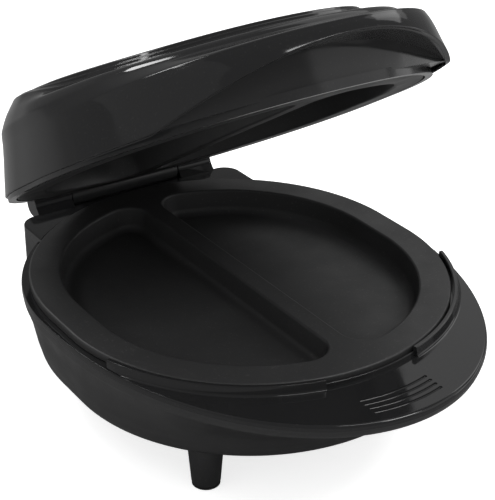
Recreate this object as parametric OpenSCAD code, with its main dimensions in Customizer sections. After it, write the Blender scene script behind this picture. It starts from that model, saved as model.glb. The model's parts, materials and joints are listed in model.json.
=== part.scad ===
// Electric omelette maker: a clamshell cooker with two half-moon wells, drawn with its lid part open.
// The plates' own frame has its origin in the middle of the lower plate's rim plane. X runs to the
// right as seen from the grip, Y runs back to the hinge and Z runs up.

/* [Cooking plates] */
// Half the width of the lower cooking plate
plate_r = 100; // [94:1:108]
// Straight stretch between the round ends of a plate
plate_straight = 22; // [14:1:30]
// Thickness of a plate's rim
plate_rim_t = 4; // [3.6:0.1:5]
// Distance from the plate's edge to the edge of its wells
well_margin = 16; // [14:1:18]
// Width of the bridge between the two wells
bridge_w = 11; // [10:1:16]
// Depth of the wells
well_depth = 13; // [9:0.5:15]
// Radius of the corners of a well, in plan
well_corner_r = 12; // [8:1:16]
// Wall of a well at its side
well_wall = 3; // [2:0.25:3.5]
// Wall of a well at its floor
well_floor = 4; // [3.5:0.25:5]
// How much the upper plate is smaller all round
upper_inset = 1.5; // [1.2:0.1:2]

/* [Base] */
// Distance from the lower plate's edge to the edge of the base
border = 4; // [3.5:0.25:6]
// How far the grip lip stands out in front of the lower plate
lip_out = 37; // [30:1:42]
// Drop from the plate's rim to the deck round it
deck_drop = 4; // [3.6:0.1:5]
// Thickness of the deck
deck_t = 3; // [2.5:0.25:4]
// Depth of the bowl below the plate's rim
bowl_depth = 48; // [46:1:56]
// Wall of the bowl
bowl_wall = 2.2; // [1.8:0.1:2.6]
// Height of the guard ridge above the plate's rim
ridge_rise = 0.7; // [0.3:0.1:0.7]
// Half the width of the notch in the guard ridge
notch_half_w = 25; // [18:1:32]
// Number of grooves in the grip lip
groove_count = 4; // [2:1:4]
// Half the width of the hinge housing behind the plate
housing_half_w = 68; // [66:1:74]
// Distance from the plate's rear edge to the flat back of the hinge housing
housing_back = 3; // [2:0.5:3.5]
// Height of the hinge housing
housing_h = 36; // [30:1:40]

/* [Legs] */
// Clear height under the bowl
leg_clear = 16.8; // [14:0.4:26]
// Distance of the legs from the middle plane
leg_x = 62; // [50:1:64]
// Distance of the legs from the plate's centre, front to back
leg_y = 68; // [56:1:70]
// Radius of a leg at its top
leg_top_r = 9; // [8:0.25:10]
// Radius of a leg at its foot
leg_foot_r = 7; // [6:0.2:7.4]
// Thickness of the rubber foot under a leg
foot_t = 1.2; // [1:0.2:3]

/* [Hinge] */
// Distance of the hinge axis behind the plate's rear edge
hinge_back = 10; // [10:0.5:13]
// Height of the hinge axis above the lower plate's rim
hinge_up = 1; // [0.5:0.25:1.5]
// Outer radius of the hinge knuckles
knuckle_r = 6; // [5.5:0.1:6.4]
// Half the length of the lid's knuckle
knuckle_half_w = 33.5; // [28:0.5:38]
// Length of each knuckle of the base
side_knuckle_w = 22; // [18:1:23]
// Radius of the hinge pins
pin_r = 3; // [2.7:0.1:3.2]
// Radial clearance of the hinge pins
pin_clear = 0.05; // [0.02:0.01:0.1]
// Gap between the ends of neighbouring knuckles
knuckle_gap = 0.6; // [0.4:0.1:1]
// How far the lid is open
lid_angle = 31; // [0:1:95]

/* [Lid] */
// Gap between the two plates when the lid is shut
lid_gap = 1; // [0.8:0.1:1.5]
// How far the lip of the lid stands out in front of the plate
hood_out = 27; // [22:1:30]
// Height of the lid's lower edge above its plate's rim
edge_up = 2.3; // [2:0.1:3]
// Wall of the lid
lid_wall = 2.2; // [1.8:0.1:2.6]
// Height of the shoulder line above the lower plate's rim
shoulder_z = 34; // [32:0.5:38]
// Height of the top panel's front above the shoulder line
panel_rise = 6.6; // [6:0.2:10]
// Height of each of the three ledges round the front of the top panel
ledge_h = 1.6; // [0.8:0.1:1.8]
// Rise of the top panel from its front to its back
panel_tilt = 9; // [4:0.5:12]
// Height of the finger arch under the lid's lip
arch_h = 17.6; // [14:0.2:18.6]
// Half the width of the finger arch
arch_half_w = 80; // [70:1:84]
// Half the distance between the two indicator lamps
lamp_x = 9; // [8:0.5:16]

/* [Heating] */
// Radius of the heating element's loop
heater_r = 48; // [40:1:54]
// Radius of the heating element's tube
heater_tube_r = 3.2; // [2.8:0.1:3.6]
// Depth of the heat shields below their plate's rim
shield_depth = 28; // [28:0.5:31]
// Sheet thickness of the heat shields
shield_t = 0.8; // [0.6:0.1:1]
// Radius of the cord inlet's bore
inlet_r = 3.6; // [3:0.1:4.2]

/* [Hidden] */

$fn = 48;
// Steps round each half of a plan outline, and round a corner and an arc of a well
seg = 32;
corner_seg = 6;
arc_seg = 12;
// Small overlap for cuts and joins
eps = 0.01;
// Gap between a piece and the piece that it sits in
fit = 0.3;

mid = plate_straight / 2;
plate_len = plate_r + mid;
base_r = plate_r + border;
lip_reach = plate_len + lip_out;
hood_reach = plate_len + hood_out;
plate_z = leg_clear + bowl_depth + foot_t;
hinge_y = plate_len + hinge_back;
hinge_z = hinge_up;
housing_y = plate_len + housing_back;
seat_r = plate_r - 3.5;
plate_gap = 1.2;
deck_z = -deck_drop;
deck_low = deck_z - deck_t;
well_r = plate_r - well_margin;
well_low = -well_depth - well_floor;
screw_r = plate_r - 6;
screw_a = 45;
shield_r = plate_r - 10;
rear_top_z = -1.5;
lid_low = lid_gap;
edge_z = lid_low + edge_up;
rear_reach = hinge_y - mid + 12;
// Distance of the plate's centre behind the middle of the whole piece
plate_y = 10.46;

black = [0.13, 0.13, 0.14];
gloss = [0.17, 0.17, 0.18];
coating = [0.22, 0.22, 0.23];
steel = [0.75, 0.75, 0.76];
sheet = [0.82, 0.83, 0.84];
rubber = [0.08, 0.08, 0.08];
ceramic = [0.9, 0.88, 0.82];

// Puts a piece drawn in the plates' frame where it stands
module on_base() translate([0, plate_y, plate_z]) children();

// The same for a piece of the lid, drawn shut and turned open about the hinge axis
module on_lid() on_base() translate([0, hinge_y, hinge_z]) rotate([-lid_angle, 0, 0])
    translate([0, -hinge_y, -hinge_z]) children();

// Turns what is drawn under the lower plate into what stands on the upper one
module upside() translate([0, 0, lid_low]) mirror([0, 0, 1]) children();

// Plan outline with a round back of radius a and a front that is a half ellipse reaching b,
// drawn from m in front of the centre. With n over 2 the ellipse is fuller at its corners.
function outline(a, b, m, n = 2) = concat(
    [for (i = [0:seg]) [a * cos(180 * i / seg), mid + a * sin(180 * i / seg)]],
    [for (i = [0:seg]) let (t = 180 * i / seg, c = cos(t))
        [-a * sign(c) * pow(abs(c), 2 / n), -m - (b - m) * pow(abs(sin(t)), 2 / n)]]);
function oval(r) = outline(r, r + mid, mid);

function at_height(shape, z) = [for (p = shape) [p[0], p[1], z]];

module prism(shape, low, high) translate([0, 0, low]) linear_extrude(high - low) polygon(shape);

// Closed solid through a stack of rings, from the highest to the lowest, that share their number of points
module loft(rings) {
    n = len(rings[0]);
    last = len(rings) - 1;
    sides = [for (j = [0:last - 1], i = [0:n - 1]) let (k = (i + 1) % n, a = j * n, b = a + n)
        each [[a + i, a + k, b + k], [a + i, b + k, b + i]]];
    top = [for (i = [0:n - 1]) n - 1 - i];
    bottom = [for (i = [0:n - 1]) last * n + i];
    polyhedron([for (r = rings) each r], concat(sides, [top, bottom]), convexity = 6);
}

// Half-moon outline of the right well, drawn in by inset
function half_moon(inset) =
    let (
        x0 = bridge_w / 2 + inset,
        rc = max(well_corner_r - inset, 1),
        reach = well_r - inset - rc,
        cy = mid + sqrt(reach * reach - (x0 + rc) * (x0 + rc)),
        turn = atan2(cy - mid, x0 + rc))
    concat(
        [for (i = [0:corner_seg]) let (t = 180 + (180 - turn) * i / corner_seg)
            [x0 + rc + rc * cos(t), -cy + rc * sin(t)]],
        [for (i = [1:arc_seg]) let (t = -turn + turn * i / arc_seg)
            [(well_r - inset) * cos(t), -mid + (well_r - inset) * sin(t)]],
        [for (i = [0:arc_seg - 1]) let (t = turn * i / arc_seg)
            [(well_r - inset) * cos(t), mid + (well_r - inset) * sin(t)]],
        [for (i = [0:corner_seg]) let (t = turn + (180 - turn) * i / corner_seg)
            [x0 + rc + rc * cos(t), cy + rc * sin(t)]]);

module both_sides() {
    children();
    mirror([1, 0, 0]) children();
}

module four_ways(x, y) for (sx = [-1, 1], sy = [-1, 1]) translate([sx * x, sy * y, 0]) children();

// Places round the plate where screws hold it
module plate_screw_places() four_ways(screw_r * cos(screw_a), mid + screw_r * sin(screw_a)) children();

module bore(r, low, high) translate([0, 0, low]) cylinder(r = r, h = high - low);

/* Cooking plates */

// Space inside a well: a rounded lip, drafted sides and a filleted floor
module well_space() loft([
    at_height(half_moon(-1), 1),
    at_height(half_moon(-1), 0),
    at_height(half_moon(-0.3), -0.5),
    at_height(half_moon(0), -1.5),
    at_height(half_moon(1), 4 - well_depth),
    at_height(half_moon(2.2), 1.2 - well_depth),
    at_height(half_moon(5), -well_depth)]);

module well_body() loft([
    at_height(half_moon(-well_wall), -1),
    at_height(half_moon(1 - well_wall), 4 + well_low),
    at_height(half_moon(2.4 - well_wall), 1.2 + well_low),
    at_height(half_moon(5 - well_wall), well_low)]);

// One cast plate, seen with its wells open upwards
module cooking_plate(rim_r) {
    difference() {
        union() {
            prism(oval(rim_r), -plate_rim_t, 0);
            both_sides() well_body();
        }
        both_sides() well_space();
        plate_screw_places() bore(plate_screw_r + pin_clear, -plate_rim_t - 1, -1);
        both_sides() clamp_screw_places() bore(clamp_screw_r + pin_clear, well_low - 1, well_low + 2.6);
        thermostat_screw_places() bore(clamp_screw_r + pin_clear, well_low - 1, well_low + 2.6);
        fuse_screw_place() bore(clamp_screw_r + pin_clear, well_low - 1, well_low + 2.6);
    }
}

module lower_plate() color(coating) on_base() cooking_plate(plate_r);
module upper_plate() color(coating) on_lid() upside() cooking_plate(plate_r - upper_inset);

/* Heating elements */

heater_z = well_low - heater_tube_r - 0.1;
heater_end_y = 62;
pin_end_y = heater_end_y + 7;

// Tubular element bent to a U, with a bare pin at each end
module heater() {
    translate([0, -mid, heater_z]) rotate([0, 0, 180]) rotate_extrude(angle = 180)
        translate([heater_r, 0]) circle(heater_tube_r);
    for (s = [-1, 1]) {
        translate([s * heater_r, heater_end_y, heater_z]) rotate([90, 0, 0])
            cylinder(r = heater_tube_r, h = heater_end_y + mid);
        translate([s * heater_r, pin_end_y, heater_z]) rotate([90, 0, 0])
            cylinder(r = 1.4, h = pin_end_y - heater_end_y + 1);
    }
}

module lower_heater() color(steel) on_base() heater();
module upper_heater() color(steel) on_lid() upside() heater();

clamp_w = 10;
clamp_t = 1.2;
clamp_reach = heater_tube_r + 8;
clamp_hole_x = heater_tube_r + 5;
clamp_screw_r = 1.5;
clamp_head_r = 2.6;
clamp_head_h = 1.8;

module clamp_screw_places() for (s = [-1, 1]) translate([heater_r + s * clamp_hole_x, 0, 0]) children();

// Bent strap over the element, its two feet flat on the well's floor
module heater_clamp() difference() {
    union() {
        translate([heater_r - clamp_reach, -clamp_w / 2, well_low - clamp_t])
            cube([2 * clamp_reach, clamp_w, clamp_t]);
        translate([heater_r, clamp_w / 2, heater_z]) rotate([90, 0, 0])
            cylinder(r = heater_tube_r + 0.2 + clamp_t, h = clamp_w);
    }
    translate([heater_r, clamp_w / 2 + 1, heater_z]) rotate([90, 0, 0])
        cylinder(r = heater_tube_r + 0.2, h = clamp_w + 2);
    translate([heater_r - heater_tube_r - 0.2, -clamp_w / 2 - 1, heater_z])
        cube([2 * heater_tube_r + 0.4, clamp_w + 2, 2 * heater_tube_r]);
    translate([heater_r - 2 * heater_tube_r, -clamp_w, well_low])
        cube([4 * heater_tube_r, 2 * clamp_w, clamp_t + 2]);
    clamp_screw_places() bore(clamp_screw_r + 0.2, well_low - clamp_t - 1, well_low + 1);
}

// Pan-head screw with its head's underside at z and its shank going up
module screw(r, head_r, head_h, z, up) {
    difference() {
        bore(head_r, z - head_h, z);
        translate([-head_r, -0.4, z - head_h - eps]) cube([2 * head_r, 0.8, head_h * 0.45]);
    }
    bore(r, z - eps, z + up);
}

module clamp_screws() both_sides() clamp_screw_places()
    screw(clamp_screw_r, clamp_head_r, clamp_head_h, well_low - clamp_t, clamp_t + 2.4);

module lower_heater_clamps() color(sheet) on_base() both_sides() heater_clamp();
module upper_heater_clamps() color(sheet) on_lid() upside() both_sides() heater_clamp();
module lower_clamp_screws() color(steel) on_base() clamp_screws();
module upper_clamp_screws() color(steel) on_lid() upside() clamp_screws();

/* Heat shields */

plate_screw_r = 2;
plate_head_r = 3.4;
plate_head_h = 2.4;
tab_r = 4.6;
tab_low = -plate_rim_t - deck_t;
lead_hole_r = 4;
lead_hole_x = 20;
lead_hole_y = 60;

// Pressed pan with four ears that the plate's screws hold
module heat_shield() difference() {
    union() {
        difference() {
            prism(oval(shield_r), -shield_depth, tab_low);
            prism(oval(shield_r - shield_t), -shield_depth + shield_t, tab_low + 1);
        }
        difference() {
            plate_screw_places() bore(tab_r + 1.5, tab_low - shield_t, tab_low);
            prism(oval(shield_r - shield_t), tab_low - shield_t - 1, tab_low + 1);
        }
    }
    plate_screw_places() bore(plate_screw_r + 0.2, tab_low - shield_t - 1, tab_low + 1);
    both_sides() translate([lead_hole_x, lead_hole_y, 0])
        bore(lead_hole_r, -shield_depth - 1, -shield_depth + 2);
}

module lower_heat_shield() color(sheet) on_base() heat_shield();
module upper_heat_shield() color(sheet) on_lid() upside() heat_shield();

module plate_screws() plate_screw_places()
    screw(plate_screw_r, plate_head_r, plate_head_h, tab_low - shield_t, shield_t + deck_t + plate_rim_t - 1.2);

module lower_plate_screws() color(steel) on_base() plate_screws();
module upper_plate_screws() color(steel) on_lid() upside() plate_screws();

/* Thermostat and fuse */

thermostat_x = -26;
thermostat_y = 20;
thermostat_hole = 11;
thermostat_r = 8;
flange_w = 10;
flange_len = 30;
flange_t = 1;
fuse_x = 26;
fuse_r = 2.2;
fuse_sleeve = 30;
fuse_z = well_low - fuse_r - 0.1;

module thermostat_screw_places() for (s = [-1, 1])
    translate([thermostat_x, thermostat_y + s * thermostat_hole, 0]) children();

// Snap-disc thermostat: steel cup and flange against the well's floor, ceramic body and two blades
module thermostat() color(ceramic) on_base() difference() {
    union() {
        translate([thermostat_x - flange_w / 2, thermostat_y - flange_len / 2, well_low - flange_t])
            cube([flange_w, flange_len, flange_t]);
        translate([thermostat_x, thermostat_y, 0]) bore(thermostat_r, well_low - 4, well_low);
        translate([thermostat_x, thermostat_y, 0]) bore(thermostat_r - 1, well_low - 7, well_low - 3);
        for (s = [-1, 1]) translate([thermostat_x - 2 + s * 3, thermostat_y - 0.4, well_low - 9.4])
            cube([4, 0.8, 3]);
    }
    thermostat_screw_places() bore(clamp_screw_r + 0.2, well_low - 2, well_low + 1);
}

module thermostat_screws() color(steel) on_base() {
    thermostat_screw_places()
        screw(clamp_screw_r, clamp_head_r, clamp_head_h, well_low - flange_t, flange_t + 2.4);
    fuse_screw_place() screw(clamp_screw_r, clamp_head_r, clamp_head_h, well_low - clamp_t, clamp_t + 2.4);
}

// Thermal fuse in its glass-fibre sleeve, lying along the right well's floor
module thermal_fuse() color("ivory") on_base()
    translate([fuse_x, thermostat_y, fuse_z]) rotate([90, 0, 0]) {
    translate([0, 0, -fuse_sleeve / 2]) cylinder(r = fuse_r, h = fuse_sleeve);
    translate([0, 0, -fuse_sleeve / 2 - 6]) cylinder(r = 0.6, h = fuse_sleeve + 12);
}

module fuse_screw_place() translate([fuse_x + 8, thermostat_y, 0]) children();

module fuse_clip() color(sheet) on_base() difference() {
    union() {
        translate([fuse_x - fuse_r - clamp_t, thermostat_y - 4, well_low - clamp_t])
            cube([fuse_r + clamp_t + 12, 8, clamp_t]);
        translate([fuse_x, thermostat_y + 4, fuse_z]) rotate([90, 0, 0])
            cylinder(r = fuse_r + 0.2 + clamp_t, h = 8);
    }
    translate([fuse_x, thermostat_y + 5, fuse_z]) rotate([90, 0, 0]) cylinder(r = fuse_r + 0.2, h = 10);
    translate([fuse_x - fuse_r - 0.2, thermostat_y - 5, fuse_z]) cube([2 * fuse_r + 0.4, 10, 3 * fuse_r]);
    translate([fuse_x - 2 * fuse_r - clamp_t, thermostat_y - 5, well_low])
        cube([4 * fuse_r + 16, 10, clamp_t + 2]);
    fuse_screw_place() bore(clamp_screw_r + 0.2, well_low - 3, well_low + 1);
}

/* Base shell */

// Each row is a level of the bowl: height, half width, reach in front and straight part in front.
// The widest level carries the grip lip, and the lip flows back into the bowl below it.
function bowl_levels() = [
    [deck_low, base_r, lip_reach, 0],
    [deck_low - 4, base_r - 0.6, lip_reach - 2, 0],
    [deck_low - 6.5, base_r - 1.4, lip_reach - 7, 1],
    [deck_low - 13, base_r - 3, lip_reach - 21, mid / 2],
    [deck_low - 21, base_r - 4.5, lip_reach - 34, mid * 0.8],
    [-bowl_depth + 14, base_r - 6.5, base_r + mid - 6.5, mid],
    [-bowl_depth + 8, base_r - 10, base_r + mid - 10, mid],
    [-bowl_depth + 3.5, base_r - 19.5, base_r + mid - 19.5, mid],
    [-bowl_depth + 0.8, base_r - 34, base_r + mid - 34, mid],
    [-bowl_depth, base_r - 52, base_r + mid - 52, mid]];

function bowl_ring(level, inset, lift) =
    at_height(outline(level[1] - inset, level[2] - inset, min(level[3], level[2] - inset - 1)), level[0] + lift);

module bowl_outside() loft([for (l = bowl_levels()) bowl_ring(l, 0, 0)]);

module bowl_inside() loft(concat(
    [bowl_ring([deck_low + 1, base_r, lip_reach, 0], bowl_wall, 0)],
    [for (l = bowl_levels()) bowl_ring(l, bowl_wall, l[0] == deck_low ? 0 : bowl_wall * 0.9)]));

pin_in = knuckle_half_w - 14;
pin_out = knuckle_half_w + side_knuckle_w - 10;
pin_bore_end = knuckle_half_w + side_knuckle_w - 2;
sleeve_r = 1.4;
sleeve_bore = 1.8;
sleeve_x = pin_out + 4;
sleeve_slope = 55;
// Length of the slanted run of the sleeve, from the hinge axis down into the housing
sleeve_rise = 25;
// Point on the slanted bore, d before the hinge axis
function slanted(d) = [-sleeve_x, hinge_y - d * sin(sleeve_slope), hinge_z - d * cos(sleeve_slope)];

casing_front = [20, -(lip_reach - 17)];
casing_rear = [housing_half_w - 8, slanted(sleeve_rise)[1] - 9];
casing_screw_r = 1.5;
casing_head_r = 2.8;
casing_head_h = 2;
casing_front_z = deck_low - 3.5;
casing_rear_z = deck_low - 16;
casing_boss_r = 4.2;
inlet_x = 38;
inlet_z = deck_low - 15;
bush_r = inlet_r + 2.2;

module casing_pair(place) for (s = [-1, 1]) translate([s * place[0], place[1], 0]) children();

function rounded_box(x, front, back, r) = concat(
    [[-x, front], [x, front]],
    [for (i = [0:4]) [x - r + r * cos(90 * i / 4), back - r + r * sin(90 * i / 4)]],
    [for (i = [0:4]) [-x + r - r * sin(90 * i / 4), back - r + r * cos(90 * i / 4)]]);

module housing(x, back, low, high) prism(rounded_box(x, mid, back, 10), low, high);

// Moulded bowl with its hinge housing, screw bosses and four hollow legs
module base_shell() color(black) on_base() difference() {
    union() {
        difference() {
            union() {
                bowl_outside();
                housing(housing_half_w, housing_y, -housing_h, deck_low);
            }
            bowl_inside();
            housing(housing_half_w - bowl_wall, housing_y - bowl_wall, -housing_h + bowl_wall, deck_low + 1);
        }
        intersection() {
            union() {
                casing_pair(casing_front) bore(casing_boss_r, -bowl_depth, casing_front_z);
                casing_pair(casing_rear) bore(casing_boss_r, -bowl_depth, casing_rear_z);
                four_ways(leg_x, leg_y) bore(leg_foot_r, -bowl_depth, -bowl_depth + 12);
            }
            union() {
                bowl_outside();
                housing(housing_half_w, housing_y, -housing_h, deck_low);
            }
        }
        difference() {
            four_ways(leg_x, leg_y) translate([0, 0, -bowl_depth - leg_clear])
                cylinder(r1 = leg_foot_r, r2 = leg_top_r, h = leg_clear + 9);
            bowl_inside();
        }
    }
    casing_pair(casing_front) bore(casing_screw_r + 0.2, -bowl_depth - 1, casing_front_z + 1);
    casing_pair(casing_front) bore(casing_head_r + 0.4, -bowl_depth - 1, casing_front_z - 3);
    casing_pair(casing_rear) bore(casing_screw_r + 0.2, -bowl_depth - 1, casing_rear_z + 1);
    casing_pair(casing_rear) bore(casing_head_r + 0.4, -bowl_depth - 1, casing_rear_z - 3);
    four_ways(leg_x, leg_y) bore(foot_stem_r + 0.1, -bowl_depth - leg_clear - 1, -bowl_depth + 6);
    translate([inlet_x, housing_y + 1, inlet_z]) rotate([90, 0, 0]) cylinder(r = bush_r + 0.1, h = bowl_wall + 2);
    for (i = [-3:3]) translate([i * 9 - 1.5, -22, -bowl_depth - 1]) cube([3, 44, bowl_wall + 2]);
}

module base_casing_screws() color(steel) on_base() {
    casing_pair(casing_front) screw(casing_screw_r, casing_head_r, casing_head_h, casing_front_z - 3, 6);
    casing_pair(casing_rear) screw(casing_screw_r, casing_head_r, casing_head_h, casing_rear_z - 3, 8.4);
}

foot_stem_r = 3.4;

module foot_pads() color(rubber) translate([0, plate_y, 0]) four_ways(leg_x, leg_y) {
    translate([0, 0, 0.4]) cylinder(r = leg_foot_r - 0.2, h = foot_t - 0.4);
    cylinder(r1 = leg_foot_r - 0.6, r2 = leg_foot_r - 0.2, h = 0.4);
    cylinder(r = foot_stem_r, h = foot_t + 8);
}

/* Base frame */

groove_r = 75;
groove_pitch = 3.6;
groove_w = 1.4;
groove_half_turn = 14;
groove_first = lip_out - 19;

// Knuckle of the base, with a web that joins it to the back of the hinge housing
module side_knuckle() translate([knuckle_half_w + knuckle_gap, 0, 0]) {
    translate([0, hinge_y, hinge_z]) rotate([0, 90, 0]) cylinder(r = knuckle_r, h = side_knuckle_w);
    rotate([90, 0, 90]) linear_extrude(side_knuckle_w) polygon([
        [housing_y - 7, deck_low + 1], [housing_y - 7, rear_top_z - 1], [housing_y - 2, rear_top_z - 0.2],
        [hinge_y - knuckle_r * 0.85, hinge_z + knuckle_r * 0.3], [hinge_y, hinge_z],
        [hinge_y, hinge_z - knuckle_r * 0.95], [housing_y, deck_low + 1]]);
}

cradle_half_w = knuckle_half_w + knuckle_gap + 4;
cradle_clear = 0.7;

// Cradle behind the housing, close under the lid's knuckle, so that no crumbs fall through there
module cradle() difference() {
    translate([-cradle_half_w, 0, 0]) rotate([90, 0, 90]) linear_extrude(2 * cradle_half_w) polygon([
        [housing_y - 3, deck_low], [hinge_y + 1, deck_low], [hinge_y + 1, hinge_z - knuckle_r * 1.03],
        [housing_y + 0.6, rear_top_z - 0.4], [housing_y - 3, rear_top_z - 0.4]]);
    translate([-knuckle_half_w - fit, hinge_y, hinge_z]) rotate([0, 90, 0])
        cylinder(r = knuckle_r + cradle_clear, h = 2 * (knuckle_half_w + fit));
}

ridge_in = plate_r + plate_gap;
ridge_end = 18;
notch_a = asin(notch_half_w / ridge_in);

// Guard ridge in front of the plate: a steep face inside and a sloping one outside
module ridge(from, angle) translate([0, -mid, 0]) rotate([0, 0, from]) rotate_extrude(angle = angle, $fn = 128)
    polygon([[ridge_in, deck_z - 1], [ridge_in, ridge_rise - 0.5], [ridge_in + 0.5, ridge_rise],
        [ridge_in + 1.6, ridge_rise], [ridge_in + 2.2, ridge_rise - 0.6], [ridge_in + 4.4, deck_z - 1]]);

// Glossy top of the base: deck and grip lip, guard ridge, seat for the plate, and the outer hinge knuckles
module base_frame() color(gloss) on_base() {
    difference() {
        union() {
            loft([
                at_height(outline(base_r - 0.9, lip_reach - 0.9, 0), deck_z),
                at_height(outline(base_r - 0.3, lip_reach - 0.3, 0), deck_z - 0.3),
                at_height(outline(base_r, lip_reach, 0), deck_z - 0.9),
                at_height(outline(base_r, lip_reach, 0), deck_low)]);
            difference() {
                housing(housing_half_w, housing_y, deck_low, rear_top_z);
                prism(oval(plate_r + plate_gap), deck_z, 1);
                translate([-base_r, -eps, deck_z]) cube([2 * base_r, housing_y - 32, 10]);
            }
            both_sides() side_knuckle();
            cradle();
            casing_pair(casing_rear) bore(casing_boss_r, casing_rear_z, deck_low + eps);
            casing_pair(casing_front) bore(casing_boss_r, casing_front_z, deck_low + eps);
        }
        difference() {
            prism(oval(seat_r), deck_low - 1, 1);
            plate_screw_places() bore(tab_r, deck_low, deck_z);
        }
        plate_screw_places() bore(plate_screw_r + 0.2, deck_low - 1, deck_z + 1);
        casing_pair(casing_rear) bore(casing_screw_r, casing_rear_z - 1, casing_rear_z + 7);
        casing_pair(casing_front) bore(casing_screw_r, casing_front_z - 1, casing_front_z + 4.5);
        for (i = [0:groove_count - 1])
            translate([0, -plate_len - groove_first - groove_pitch * i + groove_r, deck_z - 1])
                rotate([0, 0, -90 - groove_half_turn]) rotate_extrude(angle = 2 * groove_half_turn, $fn = 128)
                    translate([groove_r - groove_w / 2, 0]) square([groove_w, 2]);
        both_sides() translate([knuckle_half_w, hinge_y, hinge_z]) rotate([0, 90, 0])
            cylinder(r = pin_r + pin_clear, h = pin_bore_end - knuckle_half_w);
        translate([-sleeve_x, hinge_y, hinge_z]) rotate([-sleeve_slope, 0, 0]) translate([0, 0, -23])
            cylinder(r = sleeve_bore + 0.2, h = 23);
    }
    intersection() {
        union() {
            ridge(-90 + notch_a, 90 - notch_a - ridge_end);
            ridge(180 + ridge_end, 90 - notch_a - ridge_end);
        }
        prism(outline(base_r - 1.1, lip_reach - 1.1, 0), deck_z - 2, 2);
    }
}

module hinge_pin_at(x0) translate([x0, hinge_y, hinge_z]) rotate([0, 90, 0])
    cylinder(r = pin_r, h = pin_out - pin_in);

module hinge_pin_left() color(steel) on_base() difference() {
    hinge_pin_at(-pin_out);
    translate([-pin_out - 1, hinge_y, hinge_z]) rotate([0, 90, 0])
        cylinder(r = sleeve_bore, h = pin_out - pin_in + 2);
}

module hinge_pin_right() color(steel) on_base() hinge_pin_at(pin_in);

/* Mains parts in the base */

block_y = 54;
block_w = 30;
block_h = 11;
pole_pitch = 9;
bowl_floor_z = -bowl_depth + bowl_wall * 0.9;
block_low = bowl_floor_z + 1.4;

module terminal_block() color(ceramic) on_base() difference() {
    union() {
        translate([-block_w / 2, block_y - 7, block_low]) cube([block_w, 14, block_h]);
        for (s = [-1, 1]) translate([s * (block_w / 2 - 4), block_y, 0])
            bore(3, bowl_floor_z + 0.1, block_low + eps);
    }
    for (s = [-1:1]) translate([s * pole_pitch, block_y, 0]) {
        bore(2, block_low + block_h / 2, block_low + block_h + 1);
        translate([0, 8, block_low + block_h / 2]) rotate([90, 0, 0]) cylinder(r = 1.6, h = 16);
    }
}

module terminal_screws() color(steel) on_base()
    for (s = [-1:1]) translate([s * pole_pitch, block_y, 0]) difference() {
    bore(1.8, block_low + block_h / 2 + 1.7, block_low + block_h - 0.5);
    translate([-2, -0.3, block_low + block_h - 1.3]) cube([4, 0.6, 2]);
}

// Rubber bush that lines the hole where the supply cord goes in
module cord_inlet_bush() color(rubber) on_base()
    translate([inlet_x, housing_y, inlet_z]) rotate([90, 0, 0]) difference() {
    union() {
        translate([0, 0, -2]) cylinder(r = bush_r + 1.6, h = 2);
        cylinder(r = bush_r, h = bowl_wall);
        translate([0, 0, bowl_wall]) cylinder(r = bush_r + 1.2, h = 2);
    }
    translate([0, 0, -3]) cylinder(r = inlet_r, h = bowl_wall + 6);
}

// Points on a smooth curve through the given ones
function between(a, b, c, d, t) = 0.5 * ((2 * b) + (c - a) * t + (2 * a - 5 * b + 4 * c - d) * t * t
    + (3 * b - a - 3 * c + d) * t * t * t);
function smooth(p, steps) = let (n = len(p) - 1) concat(
    [for (i = [0:n - 1], k = [0:steps - 1])
        between(p[max(i - 1, 0)], p[i], p[i + 1], p[min(i + 2, n)], k / steps)], [p[n]]);
function unit(v) = v / norm(v);

// Round lead of radius r along a smooth curve through the points p
module lead(p, r, steps = 4, sides = 8) {
    path = smooth(p, steps);
    n = len(path) - 1;
    rings = [for (i = [0:n]) let (
        t = unit(path[min(i + 1, n)] - path[max(i - 1, 0)]),
        side = unit(cross(t, abs(t[0]) < 0.9 ? [1, 0, 0] : [0, 1, 0])),
        up = cross(side, t))
        [for (k = [0:sides - 1]) path[i] + r * (cos(360 * k / sides) * side + sin(360 * k / sides) * up)]];
    loft(rings);
}

lead_r = 1.2;
block_hole_z = block_low + block_h / 2;
block_end_y = block_y - 7.2;
shield_floor_z = -shield_depth + 2.6;

module live_lead() color("saddlebrown") on_base() lead([
    [-pole_pitch, block_end_y, block_hole_z], [-pole_pitch, block_end_y - 8, block_hole_z],
    [-lead_hole_x, lead_hole_y - 22, -shield_depth - 4], [-lead_hole_x, lead_hole_y - 1, -shield_depth - 3],
    [-lead_hole_x, lead_hole_y + 1, shield_floor_z - 1], [-lead_hole_x - 1, lead_hole_y - 16, shield_floor_z],
    [thermostat_x + 3, thermostat_y + 1.8, shield_floor_z]], lead_r);

module neutral_lead() color("steelblue") on_base() lead([
    [pole_pitch, block_end_y, block_hole_z], [pole_pitch, block_end_y - 8, block_hole_z],
    [lead_hole_x, lead_hole_y - 22, -shield_depth - 4], [lead_hole_x, lead_hole_y - 1, -shield_depth - 3],
    [lead_hole_x, lead_hole_y + 1, shield_floor_z - 1], [fuse_x - 1, lead_hole_y - 8, shield_floor_z],
    [fuse_x, thermostat_y + fuse_sleeve / 2 + 7.5, fuse_z]], lead_r);

earth_r = shield_r + 2.8;
earth_x = 72;
earth_y = mid + sqrt(earth_r * earth_r - earth_x * earth_x);
earth_in_x = 24;
earth_out_x = 60;
earth_in_y = 24;
earth_out_y = 34;

module earth_lead() color("olivedrab") on_base() lead([
    [0, block_end_y, block_hole_z], [0, block_end_y - 10, block_hole_z - 2],
    [earth_in_x, earth_in_y, -shield_depth - 8], [earth_out_x, earth_out_y, -shield_depth - 7],
    [earth_x + 3, earth_y - 6, -shield_depth - 2], [earth_x, earth_y, -shield_depth + 6],
    [screw_r * cos(screw_a), mid + screw_r * sin(screw_a), tab_low - shield_t - plate_head_h - 1.4]], lead_r);

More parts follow.
